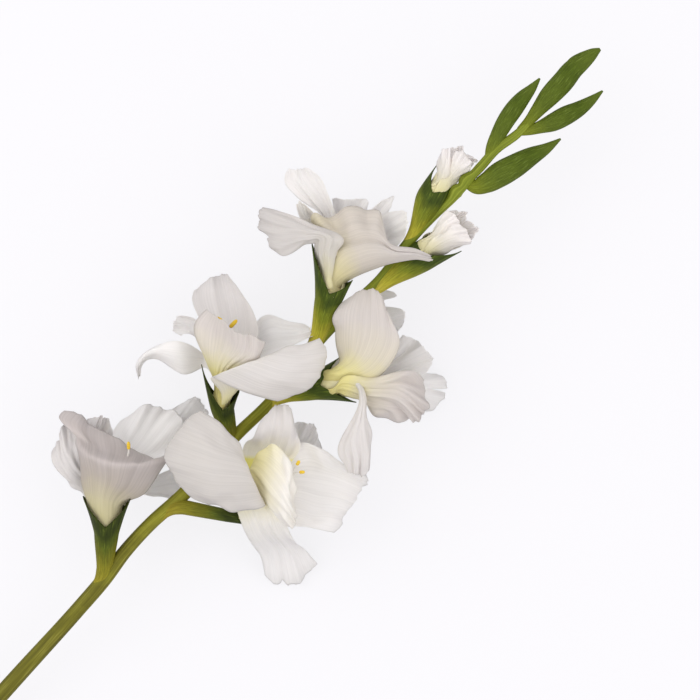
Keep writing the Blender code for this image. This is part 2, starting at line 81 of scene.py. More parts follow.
# florets: foot of the flower tube, (turn, rise) of its axis in degrees, its widest half width and its petals.
# a petal: rows of points (right edge, middle, left edge) from the throat to the tip.
FLORETS = {
    "floret_1": ((-150, 13, 36), (34, 25), 9.0, {
        "front": [[(-133, 16.5, 42), (-137, 25, 53), (-143, 33.5, 46)],
                 [(-119, 12, 46), (-126, 30, 63), (-135, 45, 54)],
                 [(-101.5, 15, 60), (-120, 34.5, 70), (-126.5, 54, 59)],
                 [(-101, 15.5, 55), (-116.5, 37, 60), (-123, 59.5, 54)],
                 [(-101.5, 15, 51), (-114, 40, 53), (-122.5, 70, 53)],
                 [(-102, 14.5, 48), (-111.5, 45, 47), (-113.5, 69, 50)]],
        "left": [[(-143.5, 35, 40), (-139, 36, 42), (-134, 36, 42)],
                [(-145, 44, 44), (-137, 48, 49), (-127, 50, 49)],
                [(-141, 55, 46), (-133, 57, 51), (-121, 58, 50)],
                [(-135, 60.5, 46), (-127, 64.5, 50), (-116, 66, 50)]],
        "upper": [[(-134, 36, 40), (-129, 32, 36), (-124, 30, 34)],
                 [(-126.5, 49, 42), (-121, 47, 38), (-115.5, 42.5, 37)],
                 [(-118.5, 56, 43), (-112.5, 53, 40), (-110.5, 45, 39)],
                 [(-112, 58.5, 43), (-107.5, 55, 41), (-107.5, 48.5, 41)]],
        "back": [[(-128, 37, 32), (-123, 31, 28), (-121, 26, 30)],
                [(-115, 45.5, 24), (-105, 33, 20), (-102, 19, 26)],
                [(-103, 49.5, 14), (-84.5, 36.5, 10), (-85, 20, 15)]],
        "lower": [[(-130, 17, 42), (-131, 19, 40), (-132, 21, 38.5)],
                 [(-121, 8, 32), (-117, 11, 24), (-112, 15, 19)],
                 [(-113, -4, 15), (-100, -3, 3), (-92, 4, 3)]],
        "far": [[(-136.5, 24.5, 34), (-135, 22, 34), (-134, 20.5, 36)],
               [(-120, 31, 18), (-119, 25, 15), (-118, 20, 17)],
               [(-94, 36, 8), (-90, 27, 5), (-90, 17, 7)],
               [(-83, 33, 2), (-72, 28.5, 1), (-68, 16, 2)]],
    }),
    "floret_2": ((-98, -27.5, 43.5), (-12, 40), 9.5, {
        "over": [[(-84, -35, 66), (-78, -21, 76), (-72, -7, 72)],
                [(-95, -27.5, 72), (-89, -4, 84), (-68.5, 7, 78)],
                [(-104, -13, 66), (-100, 17, 76), (-69, 23, 74)]],
        "centre": [[(-82.5, -22, 56), (-75, -17, 60), (-67, -14.5, 60)],
                  [(-86, -34.5, 60), (-74, -30, 72), (-57.5, -21, 70)],
                  [(-85, -44, 62), (-76, -41.5, 77), (-61.5, -31.5, 74)],
                  [(-83.5, -52, 62), (-79, -51, 70), (-71.5, -44, 72)]],
        "right": [[(-84, -49, 52), (-70, -40, 44), (-60, -23, 48)],
                 [(-80.5, -56, 50), (-63, -51, 42), (-47, -29, 49)],
                 [(-76, -63, 46), (-57, -60, 41), (-43.5, -45, 48)],
                 [(-71.5, -70, 40), (-54, -67.5, 40), (-38, -65, 44)]],
        "top": [[(-58, -30, 48), (-66, -21, 46), (-73, -8, 50)],
               [(-47.5, -23.5, 51), (-51, -14, 54), (-63, -7, 55)],
               [(-39.5, -11.5, 51), (-42.5, -5.5, 53), (-52, -4, 54)]],
        "back": [[(-62, -34, 38), (-62, -28, 36), (-61, -21, 38)],
                [(-50, -38, 36), (-50, -28, 33), (-52, -19, 36)],
                [(-44, -34, 34), (-39.5, -25, 32), (-44, -16.5, 35)]],
        "bottom": [[(-96.5, -26.5, 58), (-88.5, -31, 62), (-80.5, -36, 60)],
                  [(-103.5, -40, 42), (-94, -45, 46), (-86.5, -53, 44)],
                  [(-107.5, -51.5, 18), (-97.5, -57.5, 22), (-89, -65.5, 20)],
                  [(-114.5, -60.5, 5), (-109, -73.5, 3), (-90.5, -77, 7)]],
    }),
    "floret_3": ((-58, 14.8, 47.5), (34, 38), 8.5, {
        "front": [[(-47, 20.5, 60), (-51.5, 25.5, 62), (-54, 31.5, 56)],
                 [(-35, 16.5, 66), (-35.5, 29, 73), (-43, 51.5, 62)],
                 [(-24, 20.5, 70), (-29.5, 34.5, 79), (-33.5, 53, 66)]],
        "right": [[(-24, 11.5, 63), (-39, 19.5, 71), (-57, 28, 63)],
                 [(-12.5, 6, 59), (-29.5, 3, 69), (-50, 9.5, 64)],
                 [(-4.5, 1.5, 54), (-17, -11.5, 56), (-41.5, -7.5, 53)]],
        "left": [[(-55.5, 33.5, 40), (-53, 36, 41), (-51.5, 38, 41)],
                [(-65.5, 39.5, 44), (-60, 46.5, 49), (-55, 53, 50)],
                [(-69, 54, 42), (-67.5, 57.5, 48), (-67.5, 60.5, 46)],
                [(-76, 57.5, 38), (-78, 58.5, 40), (-78, 60.5, 38)],
                [(-82, 54, 33), (-82.5, 54.5, 33), (-82.5, 55, 33)]],
        "back": [[(-33, 26, 50), (-38, 31.5, 46), (-41.5, 36.5, 50)],
                [(-24.5, 26.5, 50), (-30, 40, 43), (-39.5, 51, 48)],
                [(-17.5, 36, 46), (-22.5, 50.5, 40), (-36, 61.5, 44)],
                [(-14, 50.5, 42), (-16, 60.5, 36), (-29, 64.5, 41)]],
        "lower": [[(-41.5, 18.5, 46), (-35.5, 24, 42), (-28.5, 28.5, 40)],
                 [(-28, 12.5, 46), (-21.5, 21, 41), (-15.5, 29.5, 38)],
                 [(-17, 8.5, 46), (-12.5, 12.5, 42), (-10, 19, 39)],
                 [(-8.5, 5, 47), (-5, 7, 44), (-5, 11.5, 41)]],
        "far": [[(-44.5, 42, 38), (-47, 42.5, 36), (-48.5, 43, 38)],
               [(-41.5, 53.5, 36), (-46.5, 52, 34), (-50, 51, 38)],
               [(-47.5, 62.5, 36), (-52, 61, 34), (-54, 53.5, 38)]],
    }),
    "floret_4": ((-21, -15.5, 42.5), (-27, 12), 9.5, {
        "upper": [[(-14, -22, 53), (-12.5, -16, 56), (-13.5, -12.5, 46)],
                 [(-1, -32.5, 57), (-1.5, -19.5, 58), (-8, -11.5, 47)],
                 [(18, -29.5, 60), (11, -15.5, 61), (0.5, -1.5, 49)],
                 [(24.5, -19.5, 62), (20.5, -7.5, 61), (6, 3.5, 51)],
                 [(31, -6, 60), (29.5, 1, 57), (18, 6.5, 52)]],
        "near": [[(-19.5, -24, 44), (-17, -21.5, 55), (-12.5, -19.5, 57)],
                [(-17, -34, 44), (-9.5, -33, 57), (-1, -31, 61)],
                [(-12.5, -46.5, 44), (0, -46, 57), (10.5, -39.5, 59)],
                [(-9, -57, 43), (1, -62, 50), (17, -52.5, 48)]],
        "far": [[(-7, -33, 34), (-5, -30, 32), (-2.5, -27.5, 32)],
               [(7, -42.5, 38), (11, -36, 34), (13, -28, 34)],
               [(19, -51.5, 39), (27, -42, 35), (25.5, -26.5, 35)]],
        "back": [[(2.5, -20.5, 30), (1, -16, 32), (0, -11, 36)],
                [(14, -22.5, 29), (20.5, -15, 31), (29.5, -1, 35)],
                [(24, -24.5, 31), (33, -21.5, 34), (37.5, -11.5, 37)]],
        "tail": [[(-12.5, -24.5, 54), (-10, -23, 58), (-8.5, -23.5, 57)],
                [(-11.5, -28, 57), (-9.5, -27, 60), (-8, -26, 58)],
                [(-14.5, -32, 57), (-13, -33.5, 60), (-12, -34, 58)],
                [(-21, -36.5, 56), (-19.5, -38.5, 60), (-17.5, -41, 57)],
                [(-39.5, -42.5, 55), (-29.5, -44.5, 60), (-22, -49, 56)],
                [(-43.5, -50, 54), (-36.5, -53, 57), (-28.5, -54.5, 55)],
                [(-46, -54.5, 52), (-43, -58.5, 54), (-39, -63, 52)]],
        "under": [[(-7.5, -33.5, 28), (-4, -30.5, 26), (-1, -27.5, 28)],
                 [(0.5, -55, 14), (8.5, -51, 11), (13.5, -44, 15)],
                 [(4, -64.5, 1), (18, -64.5, 1), (24, -56, 1)]],
    }),
    "floret_5": ((13, 13.5, 49), (32, 28), 9.5, {
        "left": [[(17.5, 24, 52), (19, 20.5, 59), (20, 17.5, 58)],
                [(23.5, 33, 55), (27.5, 29.5, 63), (31, 24, 61)],
                [(27, 35.5, 58), (32, 33, 66), (37, 26.5, 62)],
                [(23, 37.5, 60), (27.5, 41.5, 64), (32, 44.5, 62)],
                [(11, 42, 60), (18, 53, 61), (26, 60.5, 61)],
                [(10.5, 47, 57), (13.5, 61.5, 58), (21, 68.5, 59)]],
        "front": [[(18.5, 11, 50), (20, 18, 57), (24.5, 23.5, 55)],
                 [(27, 10, 48), (31.5, 20.5, 60), (35, 46, 54)],
                 [(33.5, 7, 50), (38.5, 17, 62), (46, 37, 53)],
                 [(39.5, 4, 51), (42.5, 14.5, 62), (56, 31.5, 54)],
                 [(44.5, 1.5, 52), (47, 9.5, 61), (59, 21.5, 52)],
                 [(49, -1.5, 54), (50, 3, 60), (52, 10, 58)],
                 [(55, -6.5, 56), (56, -4, 59), (58.5, -2, 57)],
                 [(59, -12.5, 57), (61, -12.5, 58), (61.5, -10.5, 57)]],
        "right": [[(36.5, 18.5, 40), (37.5, 22, 37), (38, 24.5, 36)],
                 [(48.5, 9.5, 44), (51.5, 15.5, 42), (52.5, 23.5, 42)],
                 [(54.5, 4.5, 48), (68, 10, 50), (66, 18.5, 48)]],
        "lower": [[(41.5, 20, 40), (38, 27, 38), (35, 31, 40)],
                 [(54.5, 18.5, 43), (51.5, 30.5, 42), (46, 41, 44)],
                 [(71, 21, 46), (60.5, 32, 43), (50, 47, 46)]],
        "inner": [[(27.5, 32.5, 50), (31, 34, 48), (35, 34.5, 47)],
                 [(31.5, 49, 54), (34, 47.5, 51), (37, 46, 49)],
                 [(36, 56, 57), (37, 55, 56), (38, 51, 53)]],
        "top": [[(44, 36.5, 46), (40.5, 39.5, 43), (38.5, 43, 44)],
               [(50.5, 48.5, 51), (44, 53.5, 48), (37, 58.5, 50)],
               [(52.5, 55, 54), (46, 62, 51), (38.5, 67.5, 53)],
               [(52, 62, 55), (49, 67.5, 53), (44.5, 71, 54)]],
    }),
}

# bracts, each a green cup split into two pointed valves: where it leaves the stalk's centre line, (turn,
# rise), half width at the foot and where the valves part, length to there, length and lean of both valves
BRACTS = {
    "floret_1": ((-167.5, -0.8, 31.2), (38.5, 20), (3.6, 6.2), 30.5, (43.5, 12.5), (44, 11)),
    "floret_2": ((-117.2, -0.7, 36), (-57, 16), (3.5, 2.9), 36, (42, 2.2), (43, 2.2)),
    "floret_3": ((-73, -0.2, 38), (57.5, 32), (3.4, 5.6), 22, (47, 3.8), (27, 10.5)),
    "floret_4": ((-42, -2, 40), (-32, 6), (3.6, 6.8), 23.5, (35.5, 10.5), (38, 13)),
    "floret_5": ((-9, 1.5, 41), (27.5, 19), (3.6, 6.8), 29, (49.5, 15), (37, 9)),
    "bud_1": ((61, 2.3, 43.8), (18, 4), (2.6, 7.2), 25.5, (38.5, 4), (33, 6.5)),
    "bud_2": ((33, -2, 42.8), (-11.5, 3), (3.2, 7.6), 27, (34.5, 6.5), (43.5, 9.5)),
}

# inner petals of an opening bud, still rolled up in one spindle: length and half width, and their shares
ROLL_LENGTH, ROLL_WIDTH = 21.0, 5.4
ROLL = [(-0.25, 0.6), (0.05, 0.78), (0.3, 0.85), (0.55, 0.88), (0.78, 0.8), (0.94, 0.45), (1.0, 0.12)]

# green buds: points x, y, z with half width
BUDS = {
    "bud_3": [(99.5, 0.5, 45.6, 2), (102, -3.5, 45.6, 3.8), (107, -6, 45.4, 5.2), (114.5, -8, 45.2, 6.3),
              (122.5, -10.5, 45, 6), (131, -13, 45, 4.8), (139.5, -16, 45, 2.8), (148, -18, 45, 0.5)],
    "bud_4": [(115, 1, 46.6, 1.6), (120.5, 3.5, 47, 3), (128, 6, 47.4, 3.8), (136, 8, 48, 4.4),
              (143, 9, 48.3, 4.5), (149.5, 9.5, 48.5, 3.8), (156, 9.5, 48.6, 2.4), (162.5, 10, 48.6, 0.5)],
    "bud_5": [(136.5, -1, 47, 1.9), (140.5, -4, 46.8, 2.4), (145, -6.5, 46.7, 3.2), (151, -9.5, 46.5, 4.5),
              (158, -12, 46.3, 4.8), (165, -14.5, 46.2, 3.9), (171.5, -16, 46.2, 2.6),
              (179.5, -17, 46.2, 0.5)],
    "bud_6": [(137, -0.5, 47.3, 2.1), (143.5, -0.5, 47.5, 2.6), (150.5, 0, 47.6, 3.6),
              (159.5, 0.5, 47.9, 5.1), (169, 0.5, 48.2, 5.5), (177, 1, 48.3, 5.1), (184, 0, 48.4, 4.1),
              (190, -1, 48.4, 2.6), (193.5, -2, 48.4, 0.8)],
}

# the outer leaf of the last bud ends in a tip of its own
OUTER_TIP = [(173, 2.5, 48.8, 2), (179, 3, 49, 3), (184.5, 2.5, 49, 2), (189, 2, 48.8, 0.4)]

# opening buds: the petals that still lean on each other, given like those of the florets
OPENING = {
    "bud_1": ((84.5, 9.6, 45.5), (10, 4), 6.5, {
        "outer": [[(94, 6.5, 46), (90.5, 11, 51), (90, 15, 46)],
                 [(100.5, 10, 48), (99, 14, 55), (97, 18.5, 47)],
                 [(107, 17.5, 50), (106, 20, 54), (103.5, 20.5, 49)]],
        "front": [[(95.5, 5.5, 44), (96, 8.5, 51), (95.5, 12.5, 51)],
                 [(103.5, 3.5, 46), (104, 9, 56), (103.5, 15, 53)],
                 [(107.5, 3.5, 47), (109.5, 9.5, 54), (109.5, 17, 52)]],
        "side": [[(98, 7.5, 42), (100, 8, 40), (100, 11, 42)],
                [(106.5, 5, 45), (109.5, 7.5, 44), (110, 11, 44)],
                [(109, 5, 46), (112, 5, 45), (112, 8.5, 45)]],
        "back": [[(103, 9.5, 41), (101, 11.5, 39), (97.5, 14, 41)],
                [(108.5, 9, 43), (107.5, 14.5, 41), (102, 17.5, 43)],
                [(112, 11.5, 45), (111, 17, 43), (105, 20.5, 44)]],
    }),
    "bud_2": ((57, -5, 44), (-8, 3), 6.5, {
        "outer": [[(69, -9, 52), (69, -4, 51), (66.5, -3.5, 45)],
                 [(79, -9, 55), (78, -3.5, 54), (76.5, -2, 46)],
                 [(84.5, -11, 54), (84.5, -4.5, 54), (83, -1, 48)]],
        "front": [[(65.5, -13.5, 44), (66.5, -9.5, 52), (68, -5.5, 53)],
                 [(73.5, -18, 45), (75.5, -13, 56), (78, -7, 55)],
                 [(80.5, -22.5, 46), (81.5, -18, 53), (84, -10.5, 54)]],
        "side": [[(72.5, -16.5, 43.5), (75, -11, 41), (76.5, -7.5, 43)],
                [(79.5, -19.5, 45), (82.5, -15.5, 44), (84.5, -10.5, 45)],
                [(82.5, -20, 46), (87.5, -18.5, 47), (88, -12.5, 46)]],
        "back": [[(75.5, -9.5, 42), (75, -5.5, 40), (73, -3.5, 42)],
                [(82.5, -11.5, 44), (83, -6.5, 42), (80, -3, 44)],
                [(89, -11.5, 46), (89, -7, 44), (84, -1, 45)]],
    }),
}

# anthers that show: middle, (turn, rise), length and half width; elsewhere they stand hidden in the throat
ANTHERS = {
    "floret_1": [((-108.5, 34.5, 61), (43, 25), 4.4, 0.85), ((-116, 30, 46), (50, 30), 4.2, 0.85),
                 ((-115, 27, 46), (25, 30), 4.2, 0.85)],
    "floret_2": [((-57.5, -32, 72), (10, 20), 2.9, 0.8), ((-59.5, -36.5, 71), (-45, 20), 3.0, 0.8),
                 ((-66, -32, 66), (-15, 30), 3.0, 0.8)],
    "floret_3": [((-32.5, 44, 66), (-75, 20), 3.6, 0.8), ((-29.5, 37.5, 66), (-2, 20), 5.6, 1.0),
                 ((-36, 39, 66), (30, 20), 4.2, 0.85)],
    "floret_4": [((0, -27.5, 45), (-20, 14), 4.2, 0.9), ((0, -30, 42), (-28, 10), 4.2, 0.9),
                 ((1, -26.5, 41), (-18, 8), 4.2, 0.9)],
    "floret_5": [((32, 28.5, 56), (35, 28), 4.2, 0.9), ((33, 26, 54), (27, 26), 4.2, 0.9),
                 ((31, 30, 54), (40, 28), 4.2, 0.9)],
}

# an anther's sac: share of its length, and of its half width there
SAC = [(0.0, 0.3), (0.12, 0.85), (0.4, 1.0), (0.75, 0.95), (0.93, 0.6), (1.0, 0.2)]


def heading(turn, rise):
    """Unit vector turned from +X towards +Y and lifted towards +Z, both in degrees."""
    turn, rise = radians(turn), radians(rise)
    return np.array([cos(rise) * cos(turn), cos(rise) * sin(turn), sin(rise)])


def frame_of(axis):
    """Two unit vectors square to an axis: the upward one, and the one to its left seen from above."""
    up = np.array([0.0, 0.0, 1.0]) - axis[2] * axis
    up = up / np.linalg.norm(up)
    return up, np.cross(up, axis)


def spokes(turns, up, left):
    """Unit vectors square to an axis, one for each turn from up towards left."""
    return np.cos(turns)[:, None] * up + np.sin(turns)[:, None] * left


def smooth(value, start, end):
    """0 before start, 1 after end, and an S-shaped cubic of the share gone between them."""
    gone = np.clip((value - start) / (end - start), 0, 1)
    return gone * gone * (3 - 2 * gone)


def wander(share, pace, seed):
    """Slow uneven wave: the sum of two sines, one at 1.9 times the pace of the other."""
    return np.sin(share * pace + seed) + 0.6 * np.sin(1.9 * share * pace + 2.1 * seed)


def spline(points, count):
    """Smooth line through points: each span is a cubic with the slope of its neighbours at both ends."""
    points = np.asarray(points, float)
    gaps = np.linalg.norm(np.diff(points[:, :3], axis=0), axis=1)
    knots = np.concatenate([[0], np.cumsum(gaps)])
    slope = np.gradient(points, knots, axis=0)
    reached = np.linspace(0, knots[-1], count)
    here = np.clip(np.searchsorted(knots, reached, side="right") - 1, 0, len(knots) - 2)
    span = (knots[here + 1] - knots[here])[:, None]
    part = (reached - knots[here])[:, None] / span
    return ((2 * part ** 3 - 3 * part ** 2 + 1) * points[here]
            + (part ** 3 - 2 * part ** 2 + part) * span * slope[here]
            + (3 * part ** 2 - 2 * part ** 3) * points[here + 1]
            + (part ** 3 - part ** 2) * span * slope[here + 1])


def polar(points, foot, axis):
    """Height along the axis, reach from it and turn round it (from up towards left) of some points."""
    up, left = frame_of(axis)
    away = np.asarray(points, float) - foot
    return away @ axis, np.hypot(away @ left, away @ up), np.arctan2(away @ left, away @ up)


def seats(petals, foot, axis):
    """Even places round the flower tube, given out in the order in which the petals stand round it."""
    turns = [polar(rows[0][1], foot, axis)[2] for rows in petals.values()]
    step = 2 * pi / len(turns)
    start = np.mean(np.sort(turns) - step * np.arange(len(turns)))
    return start + step * np.argsort(np.argsort(turns))


def sheath_of(name):
    """Start, axis, length and half width inside of the cup that holds a flower's petals."""
    start, aim, widths, parting = BRACTS[name][:4]
    return np.array(start, float), heading(*aim), parting, widths[1] - BRACT_THICKNESS


def petal_lines(foot, axis, seat, widest, rows, sheath, whorl):
    """Middle, right and left line of a petal: splines from three rings inside the sheath, where all petals
    close into a tube, over a wider ring round the axis and on through the rows of the table."""
    rows = np.array(rows, float)
    height, reach, turn = polar(rows[0], foot, axis)
    beside = (turn - turn[1] + pi) % (2 * pi) - pi
    drift = (turn[1] - seat + pi) % (2 * pi) - pi
    start, along, parting, mouth = sheath
    claw = spokes(seat + np.array([-CLAW_TURN, 0.0, CLAW_TURN]), *frame_of(along))
    # each ring: how far below the sheath's mouth, and how much narrower than it
    rings = [start + (parting - back) * along + (mouth - less - whorl) * claw
             for back, less in ((12, 0.55 * mouth), (5, 1.3), (0, 0))]
    turns = seat + THROAT_DRIFT * drift + np.clip(beside, -THROAT_TURN, THROAT_TURN)
    width = np.minimum(mouth + THROAT_SPREAD * (reach - mouth), widest)[:, None]
    ring = foot + THROAT_HEIGHT * height[:, None] * axis + width * spokes(turns, *frame_of(axis))
    short = np.clip(parting + CLEAR_OF_BRACT - (ring - start) @ along, 0, 20)
    ring = ring + short[:, None] * along
    net = np.concatenate([rings, ring[None], rows])[:, [1, 0, 2]]
    return spline(net.reshape(len(net), 9), LINE_POINTS).reshape(LINE_POINTS, 3, 3)


def shares_of(steps):
    """Shares along, 0 to 1, and across, -1 to 1, of every point of a grid."""
    return np.meshgrid(np.linspace(0, 1, steps[0]), np.linspace(-1, 1, steps[1]), indexing="ij")


def normals_of(surface):
    """Unit normals of a grid surface, from the cross product of its steps along and across."""
    normal = np.cross(np.gradient(surface, axis=0), np.gradient(surface, axis=1))
    return normal / np.maximum(np.linalg.norm(normal, axis=-1, keepdims=True), 1e-9)


def petal_surface(lines, seed, look):
    """A petal's net between its three lines: parabolas across, a rim that wanders in and out and is waved by
    sines of the angle round the petal, creases and notches that are bell curves across it, and a frill of
    sines along one edge. What would sink into the table bends up in a hyperbola just above it."""
    along, across = shares_of(PETAL_STEPS)
    claw = CLAW_SHARE + (1 - CLAW_SHARE) * smooth(along, 0.2, 0.5)
    spread = across * (1 - SIDE_WANDER * (1.6 + wander(along, 9.0, seed))) * claw
    shorter = (look["round"] * np.abs(spread) ** TIP_POWER
               + TIP_WANDER * (1.6 + wander(across, 4.0, seed)) + TIP_NICKS * wander(across, 23.0, seed))
    for centre, depth, wide in look["notches"]:
        shorter = shorter + depth * np.exp(-((across - centre) / wide) ** 2)
    place = along * (1 - shorter) * (LINE_POINTS - 1)
    here = np.clip(place.astype(int), 0, LINE_POINTS - 2)
    part = (place - here)[..., None]
    middle, right, left = ((1 - part) * lines[here, k] + part * lines[here + 1, k] for k in range(3))
    side = spread[..., None]
    square = side * side
    surface = right * (square - side) / 2 + middle * (1 - square) + left * (square + side) / 2

    outward = np.clip((along - 0.35) / 0.65, 0, 1)
    rim = np.hypot(across, outward)
    around = np.arctan2(across, outward + 1e-6)
    height, waves = look["ruffle"]
    wave = np.sin(2 * waves * around + seed) + 0.45 * np.sin(4.6 * waves * around + 1.7 * seed)
    lift = height * wave * smooth(rim, 0.6, 1.15) * smooth(along, 0.3, 0.6)
    for centre, depth, wide in look["creases"]:
        bell = np.exp(-((across - centre) / wide) ** 2)
        lift = lift + depth * bell * smooth(along, 0.2, 0.5) * (1 - 0.4 * along)
    edge, depth, count = look["frill"]
    ends = smooth(along, 0.3, 0.5) * (1 - smooth(along, look["calm"], look["calm"] + 0.12))
    frill = depth * np.sin(2 * pi * count * along + seed + 1.5 * across)
    lift = lift + frill * smooth(edge * across, 0.25, 1.0) * ends
    for depth, beats, slant, shift, start, full in FINE_FOLDS:
        fold = depth * np.sin(beats * across + slant * along + shift * seed)
        lift = lift + fold * smooth(along, start, full)
    surface = surface + normals_of(surface) * lift[..., None]
    above = surface[..., 2] - TABLE
    surface[..., 2] = TABLE + (above + np.sqrt(above * above + 1.0)) / 2
    return surface


def cup_surface(foot, axis, widths, parting, left_valve, right_valve):
    """A bract as one cup: rings round a line that bends out of the stalk into the bract's axis, from inside
    the stalk to a rim that stands highest at the two valves' tips and falls in nearly straight lines to the
    two clefts."""
    heights = np.arange(CUP_ROOT, CUP_END + CUP_LINE_STEP, CUP_LINE_STEP)
    bend = smooth(heights, *CUP_BEND)[:, None]
    way = (1 - bend) * ALONG_STALK + bend * axis
    way = way / np.linalg.norm(way, axis=1, keepdims=True)
    line = np.cumsum(way, axis=0) * CUP_LINE_STEP
    straight = np.searchsorted(heights, CUP_STRAIGHT)
    line = line - line[straight] + foot + heights[straight] * axis
    aside = np.cross([0.0, 0.0, 1.0], way)
    aside = aside / np.linalg.norm(aside, axis=1, keepdims=True)
    over = np.cross(way, aside)
    share, turn = shares_of(CUP_STEPS)
    turn = pi * turn
    side = np.sin(turn)
    on_left = (side > 0).astype(float)
    length = on_left * left_valve[0] + (1 - on_left) * right_valve[0]
    lean = on_left * left_valve[1] + (1 - on_left) * right_valve[1]
    point = np.clip(1 - np.abs(np.abs(turn) - pi / 2) / (pi / 2), 0, 1)
    height = CUP_ROOT + share * (parting - CUP_ROOT + (length - parting) * point ** 1.05)
    radius = (CUP_ROOT_RADIUS + (widths[0] - CUP_ROOT_RADIUS) * smooth(height, CUP_ROOT, 4)
              + (widths[1] - widths[0]) * smooth(height, 0, parting))
    start = VALVE_START * parting
    beyond = np.clip((height - start) / (length - start), 0, 1)
    radius = radius + (lean - widths[1]) * beyond ** 1.3
    line, aside, over = (np.stack([np.interp(height, heights, table[:, k]) for k in range(3)], axis=-1)
                         for table in (line, aside, over))
    lower = radius * (1 - VALVE_FLATNESS * beyond)
    return line + (radius * side)[..., None] * aside + (lower * np.cos(turn))[..., None] * over


def tube_rings(path, sides, flat=1.0):
    """Rings of points round a path of x, y, z, radius rows; flat makes them lower than wide."""
    along = np.gradient(path[:, :3], axis=0)
    along = along / np.linalg.norm(along, axis=1, keepdims=True)
    up = np.array([0.0, 0.0, 1.0]) - along[:, 2:3] * along
    up = up / np.linalg.norm(up, axis=1, keepdims=True)
    left = np.cross(up, along)
    turns = 2 * pi * np.arange(sides) / sides
    ring = np.cos(turns)[None, :, None] * left[:, None] + flat * np.sin(turns)[None, :, None] * up[:, None]
    return path[:, None, :3] + path[:, None, 3:4] * ring


def sheet_rings(surface, thickness):
    """Rings round a thin closed body: each row runs across its upper face and back across its lower one."""
    half = (np.broadcast_to(thickness, surface.shape[:2]) / 2)[..., None] * normals_of(surface)
    return np.concatenate([surface - half, (surface + half)[:, ::-1]], axis=1)


def body_of(rings, is_sheet):
    """Points, faces and corner shares of rings joined along their length. Each end of a tube is closed by
    one face, and each end of a sheet by a strip of narrow faces between its two sides."""
    rows, cols = rings.shape[:2]
    row, col = np.meshgrid(np.arange(rows - 1), np.arange(cols), indexing="ij")
    steps = ((0, 0), (0, 1), (1, 1), (1, 0))
    quads = np.stack([(row + down) * cols + (col + on) % cols for down, on in steps], axis=-1)
    quads = quads.reshape(-1, 4)
    column = np.stack([col + on for down, on in steps], axis=-1).reshape(-1)
    along = np.stack([(row + down) / (rows - 1) for down, on in steps], axis=-1).reshape(-1)
    index = np.arange(rows * cols).reshape(rows, cols)
    if not is_sheet:
        ends = [index[0][::-1], index[-1]]
        across = np.concatenate([column / cols, np.linspace(0, 1, cols), np.linspace(0, 1, cols)])
        along = np.concatenate([along, np.zeros(cols), np.ones(cols)])
        return rings.reshape(-1, 3), quads, ends, np.stack([across, along], axis=-1)
    half = cols // 2
    share = np.minimum(column, cols - 1 - column) / (half - 1)
    near = [slice(None, half - 1), slice(1, half)]
    far = [slice(-1, half, -1), slice(-2, half - 1, -1)]
    first = np.stack([index[0, part] for part in (near[0], far[0], far[1], near[1])], axis=-1)
    last = np.stack([index[-1, part] for part in (near[0], near[1], far[1], far[0])], axis=-1)
    place = np.arange(half - 1) / (half - 1)
    beyond = place + 1 / (half - 1)
    across = np.concatenate([share, np.stack([place, place, beyond, beyond], axis=-1).ravel(),
                             np.stack([place, beyond, beyond, place], axis=-1).ravel()])
    along = np.concatenate([along, np.zeros(4 * (half - 1)), np.ones(4 * (half - 1))])
    shares = np.stack([np.clip(across, 0, 1), along], axis=-1)
    return rings.reshape(-1, 3), np.concatenate([quads, first, last]), [], shares


def rod(points, steps, flat=1.0):
    """Closed body round the smooth line through rows of x, y, z, radius."""
    return body_of(tube_rings(spline(points, steps[0]), steps[1], flat), False)


def sheet(surface, thickness):
    """Closed thin body with a grid surface as its middle."""
    return body_of(sheet_rings(surface, thickness), True)


def piece(name, bodies, slot, material, *nodes):
    """Mesh object of one or more closed bodies, with corner shares across and along as its UV map."""
    points, corners, sizes, shares = [], [], [], []
    first = 0
    for spots, quads, ends, share in bodies:
        corners += [quads.ravel() + first] + [end + first for end in ends]
        sizes += [np.full(len(quads), 4)] + [np.array([len(end)]) for end in ends]
        points.append(spots)
        shares.append(share)
        first += len(spots)
    points, corners, sizes, shares = map(np.concatenate, (points, corners, sizes, shares))
    mesh = bpy.data.meshes.new(name)
    mesh.vertices.add(len(points))
    mesh.vertices.foreach_set("co", ((points - MIDDLE) / 1000).astype(np.float32).ravel())
    mesh.loops.add(len(corners))
    mesh.loops.foreach_set("vertex_index", corners.astype(np.int32))
    mesh.polygons.add(len(sizes))
    mesh.polygons.foreach_set("loop_start", np.concatenate([[0], np.cumsum(sizes)[:-1]]).astype(np.int32))
    mesh.polygons.foreach_set("use_smooth", np.ones(len(sizes), bool))
    mesh.uv_layers.new(name="shares").data.foreach_set("uv", shares.astype(np.float32).ravel())
    mesh.update(calc_edges=True)
    mesh.validate()
    mesh.materials.append(material)
    made = bpy.data.objects.new(name, mesh)
    bpy.context.scene.collection.objects.link(made)
    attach(made, "root")
    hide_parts(*nodes)


# ---- materials ----
def linear(code):
    """Linear colour of an sRGB hex code."""
    parts = [int(code[i:i + 2], 16) / 255 for i in (1, 3, 5)]
    return (*[p / 12.92 if p <= 0.04045 else ((p + 0.055) / 1.055) ** 2.4 for p in parts], 1.0)


def add(tree, kind, sockets=None, stops=(), **settings):
    """Adds a node, sets its properties, sets or links its sockets, and gives a colour ramp its stops."""
    made = tree.nodes.new("ShaderNode" + kind)
    for key, value in settings.items():
        setattr(made, key, value)
    for socket, value in (sockets or {}).items():
        if isinstance(value, bpy.types.NodeSocket):
            tree.links.new(value, made.inputs[socket])
        else:
            made.inputs[socket].default_value = value
    if stops:
        while len(made.color_ramp.elements) < len(stops):
            made.color_ramp.elements.new(0.5)
        for element, (place, code) in zip(made.color_ramp.elements, stops):
            element.position = place
            element.color = linear(code)
    return made


